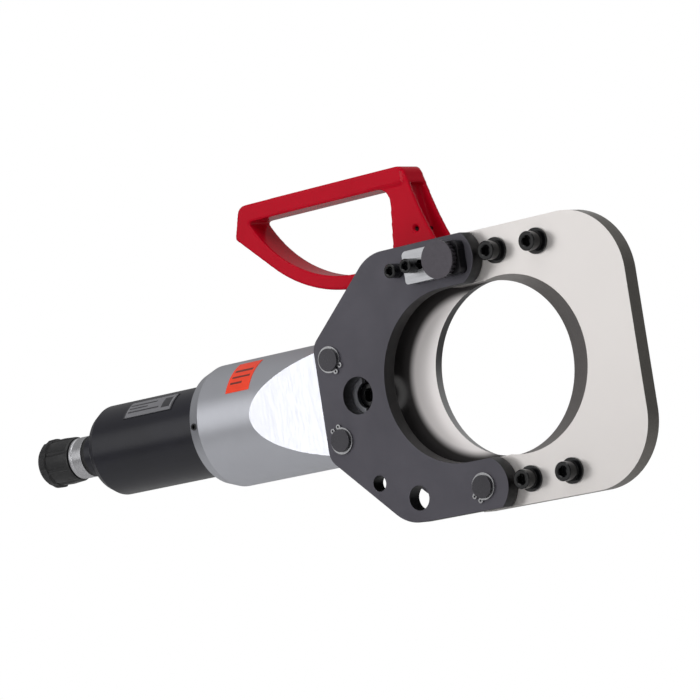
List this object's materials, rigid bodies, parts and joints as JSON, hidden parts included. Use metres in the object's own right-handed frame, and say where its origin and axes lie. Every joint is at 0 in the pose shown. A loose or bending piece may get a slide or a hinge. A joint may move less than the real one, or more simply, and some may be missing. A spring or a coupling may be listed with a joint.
{
  "type": "rescue cutter",
  "caption": "Hydraulic rescue and cable cutter: ram cylinder, two side plates, sliding guillotine blade, hinged blade frame with quarter-turn latch, carrying handle and capped coupler.",
  "frame": {"origin": "centre of the round cutting opening, on the axis of the ram", "axes": "+X along the ram from the coupler towards the blade frame, -Y towards the side with the latch knob, +Z towards the handle"},
  "size_m": [0.5518, 0.0956, 0.2475],
  "materials": {
    "barrel_paint": "satin black paint",
    "housing_aluminium": "satin silver",
    "plate_steel": "dark grey satin, black oxide",
    "pin_steel": "dark ground steel",
    "ring_steel": "bright spring steel",
    "label_grey": "grey foil with no lettering",
    "label_orange": "orange foil with no lettering",
    "coupler_steel": "zinc plated",
    "seal_rubber": "black rubber",
    "poppet_brass": "turned brass",
    "spring_steel": "spring steel",
    "cap_plastic": "moulded black",
    "handle_paint": "glossy red paint",
    "screw_black": "black oxide",
    "keeper_steel": "brushed and zinc plated",
    "latch_steel": "dark turned steel",
    "blade_steel": "satin ground tool steel",
    "guide_steel": "milled steel",
    "rod_chrome": "hard chrome",
    "seal_blue": "blue polyurethane",
    "bearing_ivory": "filled plastic",
    "bush_bronze": "turned bronze"
  },
  "bodies": {
    "cutter_body": {"cylinder_barrel": "barrel_paint", "front_housing": "housing_aluminium", "front_side_plate": "plate_steel", "rear_side_plate": "plate_steel", "body_pins": "pin_steel", "hinge_pin": "pin_steel", "pin_circlips": "ring_steel", "housing_lock_screw": "screw_black", "nameplate": "label_grey", "warning_label": "label_orange", "coupler_nipple": "coupler_steel", "coupler_seal": "seal_rubber", "coupler_spring": "spring_steel", "handle": "handle_paint", "handle_screws": "screw_black", "screw_collars": "screw_black", "keeper_screw": "screw_black", "rod_bush": "bush_bronze", "rod_wiper": "seal_blue", "barrel_o_ring": "seal_rubber", "return_spring": "spring_steel", "rear_spring_pin": "pin_steel"},
    "ram": {"piston_rod": "rod_chrome", "piston": "guide_steel", "piston_seal": "seal_blue", "piston_wear_ring": "bearing_ivory", "front_spring_pin": "pin_steel", "blade_holder": "guide_steel", "moving_blade": "blade_steel", "blade_screw": "screw_black", "blade_screw_washer": "screw_black"},
    "swing_frame": {"blade_frame": "blade_steel", "upper_guide_block": "guide_steel", "lower_guide_block": "guide_steel", "frame_bolts": "screw_black", "frame_spring_washers": "screw_black", "frame_flat_washers": "screw_black"},
    "latch": {"latch_pin": "latch_steel", "latch_circlip": "ring_steel"},
    "keeper": {"keeper_plate": "keeper_steel"},
    "poppet": {"coupler_poppet": "poppet_brass"},
    "cap": {"dust_cap": "cap_plastic"}
  },
  "joints": [
    {"name": "ram_stroke", "type": "slide", "parent": "cutter_body", "child": "ram", "axis": [1, 0, 0], "range_m": [0, 0.118], "deforming": ["return_spring"]},
    {"name": "frame_swing", "type": "hinge", "parent": "cutter_body", "child": "swing_frame", "pos_m": [-0.0128, 0, -0.0784], "axis": [0, 1, 0], "range_deg": [0, 100]},
    {"name": "latch_turn", "type": "hinge", "parent": "cutter_body", "child": "latch", "pos_m": [-0.0128, 0, 0.0784], "axis": [0, 1, 0], "range_deg": [0, 90]},
    {"name": "keeper_slide", "type": "slide", "parent": "cutter_body", "child": "keeper", "axis": [-1, 0, 0], "range_m": [0, 0.0055]},
    {"name": "poppet_press", "type": "slide", "parent": "cutter_body", "child": "poppet", "axis": [1, 0, 0], "range_m": [0, 0.0025], "stiffness_N_per_m": 800, "springref_m": -0.002, "deforming": ["coupler_spring"]},
    {"name": "cap_pull", "type": "slide", "parent": "cutter_body", "child": "cap", "axis": [-1, 0, 0], "range_m": [0, 0.03]}
  ]
}
